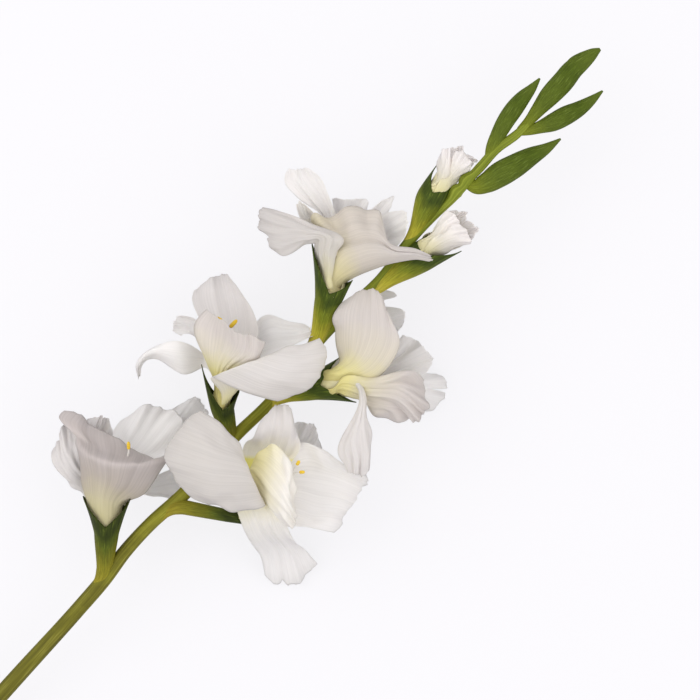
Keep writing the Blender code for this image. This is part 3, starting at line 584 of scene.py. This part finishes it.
def new_material(name):
    """Empty node material, with its node tree and its shader."""
    made = bpy.data.materials.new(name)
    made.use_nodes = True
    return made, made.node_tree, made.node_tree.nodes["Principled BSDF"]


def veined(tree, stops, patches, push, veins, unevenness, tones):
    """Vein noise and colour of a veined skin: a colour that runs through the stops from foot to tip, pushed
    to and fro by soft patches, times the tones of parallel veins, which are noise drawn out lengthwise."""
    place = add(tree, "TexCoord").outputs["Object"]
    shares = add(tree, "UVMap", uv_map="shares").outputs["UV"]
    along = add(tree, "SeparateXYZ", {"Vector": shares}).outputs["Y"]
    patchy = add(tree, "TexNoise", {"Vector": place, **patches}).outputs["Fac"]
    pushed = add(tree, "Math", {0: patchy, 1: push, 2: along}, operation="MULTIPLY_ADD")
    base = add(tree, "ValToRGB", {"Fac": pushed.outputs[0]}, stops)
    lines = add(tree, "Mapping", {"Vector": shares, "Scale": veins})
    noise = {"Vector": lines.outputs[0], "Scale": 1.0, "Detail": 3.0, **unevenness}
    vein = add(tree, "TexNoise", noise).outputs["Fac"]
    fine = add(tree, "MapRange", {"Value": vein, "From Min": 0.3, **tones})
    toned = add(tree, "Mix", {"Factor": 1.0, "A": base.outputs["Color"], "B": fine.outputs[0]},
                data_type="RGBA", blend_type="MULTIPLY")
    return vein, toned.outputs["Result"]


def tissue(name, veins, vein_depth, stops):
    """Petal tissue: thin, matt and slightly see-through, so light softens inside it. The colour warms towards
    the throat, in patches about 14 mm wide, and fine veins run out from the claw. A petal is 20 to 50 mm
    wide, so that 56 veins lie 0.4 to 0.9 mm apart. The grain between them is about a millimetre."""
    made, tree, shader = new_material(name)
    vein, toned = veined(tree, stops, {"Scale": 70.0, "Detail": 3.0}, 0.16, (veins, 1.1, 1.0),
                         {"Roughness": 0.7, "Distortion": 0.2},
                         {"From Max": 0.6, "To Min": 1.0 - vein_depth, "To Max": 1.0})
    tree.links.new(toned, shader.inputs["Base Color"])
    place = add(tree, "TexCoord").outputs["Object"]
    grain = add(tree, "TexNoise", {"Vector": place, "Scale": 900.0, "Detail": 2.0}).outputs["Fac"]
    mixed = add(tree, "Math", {0: grain, 1: 0.35, 2: vein}, operation="MULTIPLY_ADD")
    bump = add(tree, "Bump", {"Height": mixed.outputs[0], "Strength": 0.2, "Distance": 0.0004})
    tree.links.new(bump.outputs[0], shader.inputs["Normal"])
    shader.inputs["Roughness"].default_value = 0.6
    shader.inputs["Specular IOR Level"].default_value = 0.18
    shader.inputs["Subsurface Weight"].default_value = 0.4
    shader.inputs["Subsurface Radius"].default_value = (1.0, 0.95, 0.85)
    shader.inputs["Subsurface Scale"].default_value = 0.003
    return made


def leaf(name, stripes, runs, edge, edge_width, vein_tone, stops):
    """Leaf tissue: waxy, with pale parallel veins and a browned edge, in patches about 11 mm wide. Round a
    bract of some 40 mm, 60 stripes lie 0.7 mm apart, round a bud leaf 90 lie 0.3 mm apart, and the stalk's
    ribs lie 1.4 mm apart."""
    made, tree, shader = new_material(name)
    vein, toned = veined(tree, stops, {"Scale": 90.0, "Detail": 4.0}, 0.3, (stripes, runs, 1.0),
                         {"Roughness": 0.65}, {"From Max": 0.7, "To Min": 0.6, "To Max": 1.3})
    pale = add(tree, "MapRange", {"Value": vein, "From Min": 0.58, "From Max": 0.7,
                                  "To Min": 0.0, "To Max": 0.32})
    pale = add(tree, "Mix", {"Factor": pale.outputs[0], "A": toned, "B": linear(vein_tone)}, data_type="RGBA")
    shares = add(tree, "UVMap", uv_map="shares").outputs["UV"]
    across = add(tree, "SeparateXYZ", {"Vector": shares}).outputs["X"]
    middle = add(tree, "Math", {0: across, 1: 0.5}, operation="SUBTRACT")
    away = add(tree, "Math", {0: middle.outputs[0]}, operation="ABSOLUTE")
    rim = add(tree, "MapRange", {"Value": away.outputs[0], "From Min": 0.5 - edge_width, "From Max": 0.5,
                                 "To Min": 0.0, "To Max": 0.85})
    edged = add(tree, "Mix", {"Factor": rim.outputs[0], "A": pale.outputs["Result"], "B": linear(edge)},
                data_type="RGBA")
    tree.links.new(edged.outputs["Result"], shader.inputs["Base Color"])
    bump = add(tree, "Bump", {"Height": vein, "Strength": 0.5, "Distance": 0.0008})
    tree.links.new(bump.outputs[0], shader.inputs["Normal"])
    shader.inputs["Roughness"].default_value = 0.55
    shader.inputs["Specular IOR Level"].default_value = 0.14
    return made


def pollen():
    """Anther: dry golden pollen sacs, quite matt, with grains drawn as wide as 0.7 mm so that they show."""
    made, tree, shader = new_material("anther_pollen_gold")
    place = add(tree, "TexCoord").outputs["Object"]
    grain = add(tree, "TexNoise", {"Vector": place, "Scale": 1500.0, "Detail": 3.0}).outputs["Fac"]
    gold = add(tree, "ValToRGB", {"Fac": grain}, [(0.3, "#DDB224"), (0.7, "#F0D24A")])
    tree.links.new(gold.outputs["Color"], shader.inputs["Base Color"])
    bump = add(tree, "Bump", {"Height": grain, "Strength": 0.6, "Distance": 0.0003})
    tree.links.new(bump.outputs[0], shader.inputs["Normal"])
    shader.inputs["Roughness"].default_value = 0.8
    return made


# petal tissue in its tones: veins across a petal, how dark they are, and colours from claw to tip

# plain petal: clean white, faintly yellow at its claw
WHITE_PETAL = tissue("petal_tissue_white", 56.0, 0.11, [
    (0.16, "#D8CE80"), (0.34, "#E6DDB0"), (0.5, "#E0DBD2"), (0.72, "#DED9D7")])
# low petal: painted light; whiter than plain petal tissue, so that it stays white in the shade of the others
LIGHT_PAINTED_PETAL = tissue("petal_tissue_brightened_painted_light", 56.0, 0.09, [
    (0.16, "#E0D68C"), (0.34, "#F0E8BE"), (0.5, "#F8F4EC"), (0.72, "#FAF7F5")])
# petal in full light: painted shade; greyed, so that it doesn't glare
DIMMED_SHADE_PAINTED_PETAL = tissue("petal_tissue_dimmed_painted_shade", 56.0, 0.10, [
    (0.16, "#C9BF7C"), (0.34, "#D6CEA6"), (0.5, "#D0CBC2"), (0.72, "#CDC8C5")])
# petal whose lower half is butter yellow
WARM_PETAL = tissue("petal_tissue_warm", 56.0, 0.13, [
    (0.2, "#CDBF72"), (0.5, "#E2D892"), (0.66, "#D6CDBA"), (0.88, "#D0C8C4")])
# petal that is butter yellow over most of its length
GOLDEN_PETAL = tissue("petal_tissue_golden", 56.0, 0.13, [
    (0.2, "#CDBF72"), (0.62, "#E2D892"), (0.8, "#D8D0C0"), (0.95, "#D0C8C4")])
# folded petal: painted shade, a dull warm grey, with strong veins
DEEP_SHADE_PAINTED_PETAL = tissue("petal_tissue_darkened_painted_shade", 56.0, 0.17, [
    (0.2, "#C9C08E"), (0.42, "#CBC2A0"), (0.58, "#BCB2A8"), (0.74, "#C1B8B6")])
# crested petal: beige, a faint yellow of its own darkened by painted shade, with close veins
SHADY_PETAL = tissue("petal_tissue_faint_yellow_painted_shade", 76.0, 0.14, [
    (0.2, "#CABF8C"), (0.42, "#D9CE9E"), (0.6, "#CEC5BA"), (0.9, "#CBC4C2")])
# petals of an opening bud: smooth, with hardly any veins, and painted light: brighter than plain petal tissue
# so that the rolled tips stay pale in their own shade
BUD_PETAL = tissue("petal_tissue_bud", 44.0, 0.05, [
    (0.3, "#DBD084"), (0.56, "#E8DFB4"), (0.76, "#EEE7D9"), (1.0, "#F2ECEA")])
# inmost petals and threads: cream that turns yellow deep in the throat
CREAM_PETAL = tissue("petal_tissue_cream", 56.0, 0.09, [
    (0.1, "#D8CB5E"), (0.5, "#E9DC8A"), (0.7, "#EDE4B8"), (0.92, "#ECE8E2")])
# petal with a clear yellow eye that stops short
EYED_PETAL = tissue("petal_tissue_yellow_eye", 60.0, 0.08, [
    (0.4, "#E6DC66"), (0.67, "#EFE67C"), (0.71, "#EAE5D2"), (0.9, "#E6E1E0")])

# old bract: olive at its foot and deep green, almost black, at its tips
OLD_BRACT = leaf("bract_leaf_olive", 60.0, 5.0, "#5A4A22", 0.02, "#7F8A38", [
    (0.3, "#968C2C"), (0.56, "#7E7A20"), (0.84, "#4E5816"), (1.0, "#323C0E")])
# young bract: fresh yellow at its foot and deep leaf green at its tips
YOUNG_BRACT = leaf("bract_leaf_green", 60.0, 5.0, "#5A5A22", 0.02, "#8C9A40", [
    (0.3, "#CCC04C"), (0.52, "#B0AA36"), (0.74, "#747C20"), (0.98, "#3C4A12")])
# bud leaf: waxy mid green with fine pale streaks
BUD_LEAF = leaf("bud_leaf_waxy", 90.0, 8.0, "#5C7A28", 0.001, "#9AA866", [
    (0.1, "#7E8622"), (0.45, "#56651A"), (0.85, "#48590F"), (1.0, "#56661C")])
# stalk: waxy skin, brownish olive at the cut end and yellow-green near the tip, with broad soft ribs
STALK_SKIN = leaf("stalk_skin_waxy", 16.0, 14.0, "#8A8A36", 0.001, "#A8A458", [
    (0.12, "#625E20"), (0.6, "#6A6721"), (0.8, "#94932E"), (1.0, "#7C882A")])
POLLEN = pollen()

# ---- pieces ----
# how a petal is shaped on its net. ruffle: height in mm and waves of the rim. round: share of the length that
# the tip's corners lose. creases and notches: centre across, depth (mm, or a share of the length) and width.
# frill: which edge, height in mm and waves. calm: share of the length where the frill dies away.
PLAIN = {"ruffle": (1.2, 3.0), "round": 0.04, "creases": ((0.0, -0.35, 0.05),), "notches": (),
         "frill": (1, 0.0, 3.0), "calm": 2.0}
TUCKED = {**PLAIN, "ruffle": (0.9, 3.5), "round": 0.05}
LOOKS = {
    "floret_1_front": {"ruffle": (0.9, 3.5),
                       "creases": ((-0.55, -0.8, 0.10), (0.1, 0.6, 0.08), (0.5, -0.6, 0.10))},
    "floret_1_left": {"ruffle": (1.6, 4.0), "creases": ((0.3, -1.0, 0.12),), "frill": (1, 0.9, 5.0)},
    "floret_1_upper": {"ruffle": (2.4, 2.5), "creases": ((0.1, -1.2, 0.10), (-0.5, 0.8, 0.10))},
    "floret_1_back": {"ruffle": (2.0, 3.5), "creases": ((-0.3, 0.4, 0.12), (0.25, -0.4, 0.12))},
    "floret_1_far": {"ruffle": (1.6, 2.5), "creases": ((0.2, -1.4, 0.12),)},
    "floret_2_over": {"ruffle": (0.8, 5.0), "frill": (-1, 0.7, 5.0), "creases": ((0.5, -0.5, 0.15),)},
    "floret_2_centre": {"ruffle": (1.3, 4.0), "creases": ((-0.15, 1.1, 0.12), (0.3, -0.6, 0.12)),
                        "frill": (1, 0.9, 6.0)},
    "floret_2_right": {"ruffle": (1.6, 4.0), "round": 0.02, "frill": (1, 0.8, 6.0)},
    "floret_2_top": {"ruffle": (1.8, 3.0), "creases": ((0.25, -1.1, 0.10), (-0.4, 0.9, 0.12))},
    "floret_2_back": {"ruffle": (1.6, 4.0)},
    "floret_2_bottom": {"creases": ((0.35, 1.3, 0.08), (-0.25, -0.9, 0.10), (0.0, 0.5, 0.06)),
                        "notches": ((-0.3, 0.03, 0.10),), "ruffle": (1.0, 3.0)},
    "floret_3_front": {"ruffle": (1.2, 3.5), "notches": ((-0.2, 0.03, 0.3),), "round": 0.0,
                       "creases": ((-0.45, -0.8, 0.07), (-0.15, -0.8, 0.06), (0.15, -0.8, 0.06),
                                   (0.45, -0.7, 0.06))},
    "floret_3_right": {"ruffle": (0.7, 4.0), "creases": ((-0.2, 0.4, 0.12),)},
    "floret_3_left": {"ruffle": (0.5, 2.0), "round": 0.0},
    "floret_3_back": {"ruffle": (1.4, 3.0),
                      "creases": ((-0.25, 1.1, 0.08), (0.05, -0.9, 0.08), (0.35, 0.6, 0.08))},
    "floret_3_lower": {"ruffle": (1.5, 3.0), "creases": ((0.3, -0.8, 0.10),)},
    "floret_4_upper": {"ruffle": (1.0, 3.0), "creases": ((-0.25, 0.6, 0.10), (0.3, -0.5, 0.10)),
                       "frill": (1, 0.5, 4.0)},
    "floret_4_near": {"ruffle": (2.6, 5.0), "frill": (-1, 0.7, 4.0),
                      "creases": ((-0.65, 1.2, 0.06), (-0.4, -1.3, 0.06), (-0.15, 1.1, 0.06),
                                  (0.2, -1.0, 0.08))},
    "floret_4_far": {"ruffle": (1.6, 3.5),
                     "creases": ((0.45, -1.8, 0.14), (0.1, 0.7, 0.08), (-0.3, -0.8, 0.08))},
    "floret_4_back": {"notches": ((0.55, 0.20, 0.18),), "ruffle": (1.0, 3.0)},
    "floret_4_tail": {"ruffle": (0.9, 4.0), "creases": ((0.15, -1.6, 0.22),), "round": 0.02},
    "floret_4_under": {"notches": ((0.1, 0.10, 0.08),), "ruffle": (1.4, 3.0)},
    "floret_5_left": {"ruffle": (1.0, 5.0), "notches": ((-0.35, 0.04, 0.10),), "round": 0.02,
                      "creases": ((-0.5, -0.7, 0.08), (-0.1, 0.6, 0.08), (0.35, -0.6, 0.08))},
    "floret_5_front": {"ruffle": (0.3, 3.0), "frill": (1, 3.0, 9.0), "creases": ((0.30, -2.6, 0.10),),
                       "calm": 0.6, "round": 0.0},
    "floret_5_right": {"ruffle": (1.0, 3.0), "creases": ((0.3, 0.7, 0.10), (-0.2, -0.7, 0.10))},
    "floret_5_lower": {"notches": ((-0.3, 0.10, 0.12), (-0.75, -0.05, 0.2)), "ruffle": (1.6, 4.0)},
    "floret_5_top": {"ruffle": (1.0, 3.0), "creases": ((0.28, 1.8, 0.09), (-0.35, -0.8, 0.08))},
}
# painted light and shade among these tones: the brightened tone lifts low petals out of the others' shade;
# the greyed, dark grey and beige tones paint shade on single petals
TONES = {
    DIMMED_SHADE_PAINTED_PETAL: ("floret_2_over", "floret_5_left"),
    CREAM_PETAL: ("floret_2_centre", "floret_5_inner"),
    EYED_PETAL: ("floret_2_top",),
    WARM_PETAL: ("floret_4_upper", "floret_4_near"),
    GOLDEN_PETAL: ("floret_3_front",),
    DEEP_SHADE_PAINTED_PETAL: ("floret_1_front",),
    SHADY_PETAL: ("floret_5_front",),
    LIGHT_PAINTED_PETAL: ("floret_1_back", "floret_1_far", "floret_1_lower", "floret_2_back", "floret_2_right",
                 "floret_2_bottom", "floret_3_left", "floret_3_lower", "floret_3_far", "floret_4_far",
                 "floret_4_back", "floret_4_under", "floret_5_top", "floret_5_right", "floret_5_lower"),
}
TONE_OF = {petal: tone for tone, petals in TONES.items() for petal in petals}
YOUNG_BRACTS = ("floret_4", "floret_5", "bud_1", "bud_2")

piece("stalk_skin", [rod(STALK, STALK_STEPS)], "stalk_green", STALK_SKIN, "stalk")

along, across = shares_of(PETAL_STEPS)
petal_thickness = PETAL_THICKNESS * (1 - RIM_THINNING * smooth(np.maximum(np.abs(across), along), 0.9, 1.0))
for flower, (name, (foot, aim, widest, petals)) in enumerate(FLORETS.items(), 1):
    foot = np.array(foot, float)
    axis = heading(*aim)
    sheath = sheath_of(name)
    for number, (seat, (petal, rows)) in enumerate(zip(seats(petals, foot, axis), petals.items())):
        look = {**PLAIN, **LOOKS.get(f"{name}_{petal}", {})}
        lines = petal_lines(foot, axis, seat, widest, rows, sheath, WHORLS[number % 2])
        seed = 1.7 * number + 2.3 * flower
        surface = petal_surface(lines, seed, look)
        tone = TONE_OF.get(f"{name}_{petal}", WHITE_PETAL)
        piece(f"{name}_petal_{petal}_tissue", [sheet(surface, petal_thickness)], "petal_white", tone,
              f"{name}_petal_{petal}")
    # the throat's core, and three threads that end in anthers, all rise from the flower tube with the style
    start, way, parting, _ = sheath
    core = [(*(start + 8 * way), 1.6), (*(start + 0.6 * parting * way), 1.6),
            (*(start + parting * way), 1.8), (*(foot + 8 * axis), 1.2)]
    threads, sacs = [rod(core, CORE_STEPS)], []
    for centre, aim, length, thick in ANTHERS[name]:
        way = length * heading(*aim)
        low = np.array(centre) - 0.5 * way
        span = np.linalg.norm(low - foot)
        path = [(*(foot + 6 * axis), 0.5), (*(foot + 0.6 * span * axis), 0.42), (*low, 0.34),
                (*(low + 0.3 * way), 0.28)]
        threads.append(rod(path, THREAD_STEPS))
        sac = [(*(low + share * way), wide * thick) for share, wide in SAC]
        sacs.append(rod(sac, SAC_STEPS, SAC_FLATNESS))
    style = [(*(foot + 5 * axis), 0.5), (*(foot + 24 * axis), 0.4), (*(foot + 30 * axis), 0.6)]
    threads.append(rod(style, THREAD_STEPS))
    piece(f"{name}_threads", threads, "stamen_cream", CREAM_PETAL, f"{name}_stamens")
    piece(f"{name}_anthers", sacs, "stamen_cream", POLLEN, f"{name}_stamens")

for name, (foot, aim, widths, parting, left_valve, right_valve) in BRACTS.items():
    surface = cup_surface(np.array(foot, float), heading(*aim), widths, parting, left_valve, right_valve)
    tone = YOUNG_BRACT if name in YOUNG_BRACTS else OLD_BRACT
    piece(f"{name}_bract_leaf", [sheet(surface, BRACT_THICKNESS)], "bract_green", tone,
          f"{name}_bract_left", f"{name}_bract_right")

for name, points in BUDS.items():
    paths = [points] + ([OUTER_TIP] if name == "bud_6" else [])
    leaves = [rod(path, BUD_STEPS, BUD_FLATNESS) for path in paths]
    piece(f"{name}_leaf", leaves, "bud_green", BUD_LEAF, name)

for name, (foot, aim, widest, petals) in OPENING.items():
    bodies = []
    foot = np.array(foot, float)
    axis = heading(*aim)
    for number, (seat, rows) in enumerate(zip(seats(petals, foot, axis), petals.values())):
        lines = petal_lines(foot, axis, seat, widest, rows, sheath_of(name), WHORLS[number % 2])
        seed = 1.1 * number + 3
        bodies.append(sheet(petal_surface(lines, seed, TUCKED), PETAL_THICKNESS))
    rim = np.mean([point for rows in petals.values() for point in rows[-1]], axis=0)
    way = (rim - foot) / np.linalg.norm(rim - foot)
    roll = [(*(foot + share * ROLL_LENGTH * way), ROLL_WIDTH * wide) for share, wide in ROLL]
    bodies.append(rod(roll, ROLL_STEPS))
    piece(f"{name}_petals_tissue", bodies, "petal_white", BUD_PETAL, f"{name}_petals")


# ---- floor, light and camera ----
def paper_floor():
    """Backdrop paper: matt mid grey that gives little light back, shown nearly white to the camera and to
    reflections, so that the object's shadow stays on it but faint."""
    made, tree, shader = new_material("backdrop_paper")
    shader.inputs["Base Color"].default_value = linear("#74727A")
    shader.inputs["Roughness"].default_value = 0.9
    shader.inputs["Specular IOR Level"].default_value = 0.0
    ray = add(tree, "LightPath").outputs
    seen = add(tree, "Math", {0: ray["Is Camera Ray"], 1: ray["Is Glossy Ray"]}, operation="MAXIMUM")
    seen = add(tree, "Math", {0: seen.outputs[0], 1: ray["Is Transmission Ray"]}, operation="MAXIMUM")
    glow = add(tree, "Math", {0: seen.outputs[0], 1: FLOOR_GLOW}, operation="MULTIPLY")
    shader.inputs["Emission Color"].default_value = linear("#FCFCFC")
    tree.links.new(glow.outputs[0], shader.inputs["Emission Strength"])
    return made


def lamp(name, place, target, size, watts, code):
    """Square soft light at a place, turned to its target."""
    light = bpy.data.lights.new(name, "AREA")
    light.size = size
    light.energy = watts
    light.color = linear(code)[:3]
    holder = bpy.data.objects.new(name, light)
    away = Vector(target) - Vector(place)
    holder.location = place
    holder.rotation_euler = away.to_track_quat("-Z", "Y").to_euler()
    bpy.context.scene.collection.objects.link(holder)


FLOOR_GLOW = 0.78
floor_mesh = bpy.data.meshes.new("floor")
floor_mesh.from_pydata([(-8, -8, 0), (8, -8, 0), (8, 8, 0), (-8, 8, 0)], [], [(0, 1, 2, 3)])    # metres
floor = bpy.data.objects.new("floor", floor_mesh)
floor_mesh.materials.append(paper_floor())
bpy.context.scene.collection.objects.link(floor)

world = bpy.data.worlds.new("studio")
bpy.context.scene.world = world
world.use_nodes = True
sky = world.node_tree.nodes["Background"]
sky.inputs["Color"].default_value = linear("#F8F6F5")
sky.inputs["Strength"].default_value = 1.12

lamp("key", (-0.2, 0.8, 1.1), (0.1, 0.0, 0.05), 1.0, 4.5, "#FFFCF6")
lamp("fill", (0.4, -0.8, 1.0), (0.1, 0.0, 0.05), 1.2, 2.5, "#FFFAF4")

# the camera looks straight down from a metre and a half, turned so that the stem runs to the upper right
camera = bpy.data.cameras.new("camera")
camera.lens = 150.0
camera.sensor_width = 36.0
camera.clip_end = 50.0
holder = bpy.data.objects.new("camera", camera)
holder.location = (0.125617, -0.009621, 1.49278)
holder.rotation_euler = (0.0, 0.0, radians(-47))
bpy.context.scene.collection.objects.link(holder)
bpy.context.scene.camera = holder
bpy.context.scene.view_settings.view_transform = "Standard"
